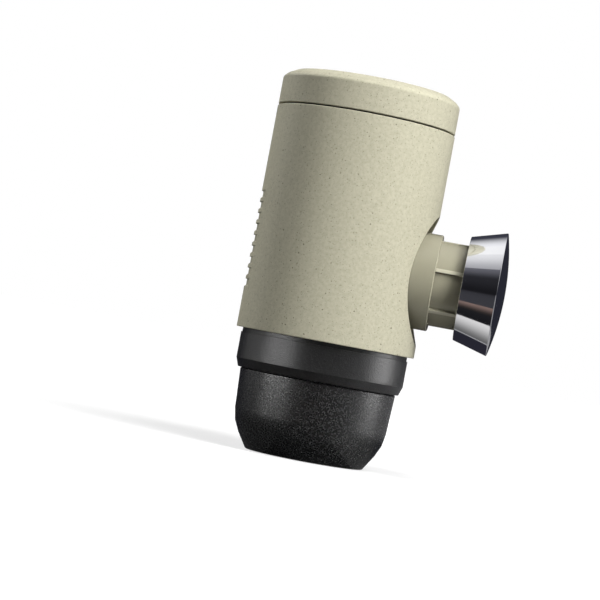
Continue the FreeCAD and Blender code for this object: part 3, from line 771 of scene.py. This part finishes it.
def makeBasket():
    inner = basket["radius"] - basket["wall"]
    corners = [
        (inner, basket["bottom"]), (basket["radius"], basket["bottom"], 0.5),
        (basket["radius"], basket["rimBottom"], 0.15), (basket["rimRadius"], basket["rimBottom"], 0.2),
        (basket["rimRadius"], basket["rimTop"], 0.3), (inner, basket["rimTop"], 0.5),
    ]
    return finishPiece(spun(corners), "basketPan", "basket", "steel", "filter_basket")


makeBasket()

# spun chrome with a domed end, closed behind by a plate; edge and rim are (radius, x)
knob = {"edge": (17.4, 41.6), "rim": (20.7, 53.4), "end": 55.9, "wall": 1.0, "plate": 0.6, "domeSteps": 9}


def makeKnob():
    edgeR, edgeX = knob["edge"]
    rimR, rimX = knob["rim"]
    inner, end, plateX = edgeR - knob["wall"], knob["end"], rimX - knob["plate"]
    radius = (rimR**2 + (end - rimX)**2) / (2 * (end - rimX))
    crown = []
    for step in range(knob["domeSteps"], 0, -1):
        r = rimR * step / (knob["domeSteps"] + 0.6)
        crown.append((r, end - radius + math.sqrt(radius**2 - r * r)))
    corners = [(0, plateX), (inner, plateX), (inner, edgeX, 0.2), (edgeR, edgeX, 0.15), (rimR, rimX, 0.3)]
    corners += crown + [(0, end)]
    return finishPiece(spun(corners, ontoPump, segments=192), "knobSkin", "knob", "chrome", "knob_shell")


makeKnob()
print("basket and knob made")

view = {
    "lens": 138.6, "distance": 0.770, "azimuth": 4.8, "lean": 10.6, "eye": 0.0395, "across": -0.0108,
    "aim": 0.0517,
}


def makeCamera():
    turn, lean = math.radians(view["azimuth"]), math.radians(view["lean"])
    right = Vector((math.cos(turn), math.sin(turn), 0))
    spot = Vector((view["distance"] * math.sin(turn), -view["distance"] * math.cos(turn), view["eye"]))
    forward = (view["across"] * right + Vector((0, 0, view["aim"])) - spot).normalized()
    side = forward.cross(Vector((0, 0, 1))).normalized()
    up = side.cross(forward)
    axisX = math.cos(lean) * side + math.sin(lean) * up
    axisY = math.cos(lean) * up - math.sin(lean) * side
    camera = bpy.data.objects.new("camera", bpy.data.cameras.new("camera"))
    camera.data.lens = view["lens"]
    camera.data.clip_start = 0.01
    turned = Matrix((axisX, axisY, -forward)).transposed().to_4x4()
    camera.matrix_world = Matrix.Translation(spot) @ turned
    bpy.context.scene.collection.objects.link(camera)
    bpy.context.scene.camera = camera


makeCamera()

# "misses" names the rays that don't see a lamp; a lamp that misses diffuse only shines on the gloss pieces
glossPieces = ["headBand", "bowlSkin", "collarRing", "plungerSleeve"]
lampAim = (0, 0, 0.065)
lamps = {
    "key": {"spot": (0.297, -0.297, 0.80), "size": (0.34, 0.34), "watts": 7.0, "misses": "glossy"},
    "side": {"spot": (0.640, -0.480, 0.50), "size": (0.34, 0.34), "watts": 6.8, "misses": "glossy"},
    "left": {"spot": (-0.693, 0.400, 0.50), "size": (0.34, 0.34), "watts": 5.9, "misses": "glossy"},
    "rightShine": {"spot": (0.893, 0.110, 0.12), "size": (0.48, 0.80), "watts": 7.9, "misses": "diffuse"},
    "leftShine": {"spot": (-0.636, -0.636, 0.12), "size": (0.24, 0.80), "watts": 3.9, "misses": "diffuse"},
    "lowShine": {"spot": (-0.816, -0.380, -0.02), "size": (0.30, 0.30), "watts": 2.3, "misses": "diffuse"},
}


def makeLamps():
    glossy = bpy.data.collections.new("glossPieces")
    for name in glossPieces:
        glossy.objects.link(bpy.data.objects[name])
    for name, lamp in lamps.items():
        data = bpy.data.lights.new(name, "AREA")
        data.shape = "RECTANGLE"
        data.size, data.size_y = lamp["size"]
        data.energy = lamp["watts"]
        source = bpy.data.objects.new(name, data)
        source.location = lamp["spot"]
        aim = Vector(lampAim) - Vector(lamp["spot"])
        source.rotation_euler = aim.to_track_quat("-Z", "Y").to_euler()
        source.visible_camera = False
        setattr(source, "visible_" + lamp["misses"], False)
        if lamp["misses"] == "diffuse":
            source.light_linking.receiver_collection = glossy
        bpy.context.scene.collection.objects.link(source)


def makeStagePiece(name, points, material):
    mesh = bpy.data.meshes.new(name)
    mesh.from_pydata(points, [], [tuple(range(len(points)))])
    mesh.materials.append(material)
    piece = bpy.data.objects.new(name, mesh)
    bpy.context.scene.collection.objects.link(piece)
    return piece


# the camera sees the floor glow by a share that grows with the distance from the object
floor = {
    "half": 6.0, "height": -0.0002, "paint": (0.33, 0.33, 0.33), "cloud": (0.34, 0.34, 0.34),
    "glowFrom": 0.12, "glowTo": 0.60, "leastGlow": 0.66,
}


def makeFloor():
    half, z = floor["half"], floor["height"]
    finish = Finish("paleFloor", Roughness=0.9, Specular_IOR_Level=0.1, Emission_Strength=1.0)
    seen = finish.add("ShaderNodeLightPath", output="Is Camera Ray")
    share = finish.fade(finish.length(finish.place), floor["glowFrom"], floor["glowTo"], floor["leastGlow"])
    glow = finish.tint(seen * share, (0, 0, 0), (1, 1, 1))
    paint = finish.tint(finish.grain(30.0), floor["paint"], floor["cloud"])
    finish.surface(Base_Color=paint, Emission_Color=glow)
    corners = [(-half, -half, z), (half, -half, z), (half, half, z), (-half, half, z)]
    makeStagePiece("floor", corners, finish.material)


# cards that only mirrors see, as round a polished piece in a studio: from one corner (x, y, z) to the
# opposite one, in metres, with the shade at each of these two ends; two of them float under the knob
cards = {
    "frontCard": [(-2.2, -1.40, 0.0), (2.2, -1.24, 0.69), (0.010, 0.010, 0.012), (0.022, 0.022, 0.026)],
    "upperCard": [(-2.2, -1.24, 0.69), (2.2, -0.88, 1.06), (0.022, 0.022, 0.026), (0.13, 0.13, 0.15)],
    "slopeCard": [(-2.2, -0.88, 1.06), (2.2, -0.14, 1.25), (0.42, 0.42, 0.44), (0.86, 0.86, 0.87)],
    "rearSlope": [(-2.2, 0.33, 1.22), (2.2, 1.02, 0.82), (0.95, 0.95, 0.97), (0.045, 0.048, 0.065)],
    "rearCard": [(-2.2, 1.02, 0.82), (2.2, 1.40, 0.0), (0.045, 0.048, 0.065), (0.020, 0.021, 0.030)],
    "endCard": [(2.2, -1.40, 0.0), (2.2, 1.40, 1.1), (0.05, 0.05, 0.06), (0.80, 0.80, 0.81)],
    "floorFront": [(-2.2, -1.40, 0.0), (0.07, -0.120, 0.0), (0.008, 0.008, 0.010), (0.045, 0.045, 0.052)],
    "floorWarm": [(-2.2, -0.120, 0.0), (0.07, -0.072, 0.0), (0.23, 0.16, 0.14), (0.020, 0.018, 0.018)],
    "floorNear": [(-2.2, -0.072, 0.0), (0.07, -0.040, 0.0), (0.014, 0.014, 0.016), (0.010, 0.010, 0.012)],
    "knobShine": [(0.0262, -0.0272, 0.030), (0.060, -0.0036, 0.030), (0.74, 0.73, 0.72), (0.13, 0.13, 0.13)],
    "knobLine": [(0.0262, -0.0036, 0.030), (0.060, -0.0024, 0.030), (0.42, 0.42, 0.43), (0.42, 0.42, 0.43)],
    "floorMiddle": [(-0.012, -0.0285, 0.0002), (0.0175, 0.0, 0.0002),
                    (0.012, 0.012, 0.014), (0.012, 0.012, 0.014)],
    "floorLeft": [(-2.2, -0.040, 0.0), (0.0175, 0.0105, 0.0), (0.05, 0.05, 0.052), (0.05, 0.05, 0.052)],
    "floorRight": [(0.0175, -0.040, 0.0), (0.07, 0.0105, 0.0), (0.30, 0.30, 0.30), (0.10, 0.10, 0.10)],
    "floorBack": [(-2.2, 0.0105, 0.0), (0.07, 1.40, 0.0), (0.022, 0.022, 0.032), (0.022, 0.022, 0.032)],
    "floorSide": [(0.07, -1.40, 0.0), (2.2, 1.40, 0.0), (0.20, 0.20, 0.21), (0.36, 0.36, 0.37)],
}


def makeCards():
    for name, ((x0, y0, z0), (x1, y1, z1), shade, farShade) in cards.items():
        standing = x0 == x1  # a card across the end fades with its height, the others from front to back
        axis, low, high = ("Z", z0, z1) if standing else ("Y", y0, y1)
        finish = Finish(name + "Paint", Roughness=1.0, Specular_IOR_Level=0.0, Emission_Strength=1.0,
                        Base_Color=(0, 0, 0, 1))
        share = finish.fade(finish.coordinate(axis), low, high)
        finish.surface(Emission_Color=finish.tint(share, shade, farShade))
        near, far = (y0, y1) if standing else (y1, y0)
        points = [(x0, y0, z0), (x1, far, z0), (x1, y1, z1), (x0, near, z1)]
        card = makeStagePiece(name, points, finish.material)
        card.visible_camera = card.visible_diffuse = card.visible_shadow = False
        card.visible_transmission = card.visible_volume_scatter = False


worldLight = 0.04  # what the white surroundings give to surfaces; camera and mirrors see them at full strength


def makeWorld():
    world = bpy.data.worlds.new("studio")
    bpy.context.scene.world = world
    world.use_nodes = True
    board = NodeBoard(world.node_tree)
    back = world.node_tree.nodes["Background"]
    seen = board.add("ShaderNodeLightPath", output="Is Camera Ray")
    for kind in ("Is Glossy Ray", "Is Transmission Ray"):
        seen = board.calc("MAXIMUM", seen, board.add("ShaderNodeLightPath", output=kind))
    board.feed(back.inputs["Color"], (1, 1, 1, 1))
    board.feed(back.inputs["Strength"], worldLight + (1 - worldLight) * seen)


makeLamps()
makeFloor()
makeCards()
makeWorld()
bpy.context.scene.view_settings.view_transform = "Standard"
print("camera, lamps, floor and cards placed")
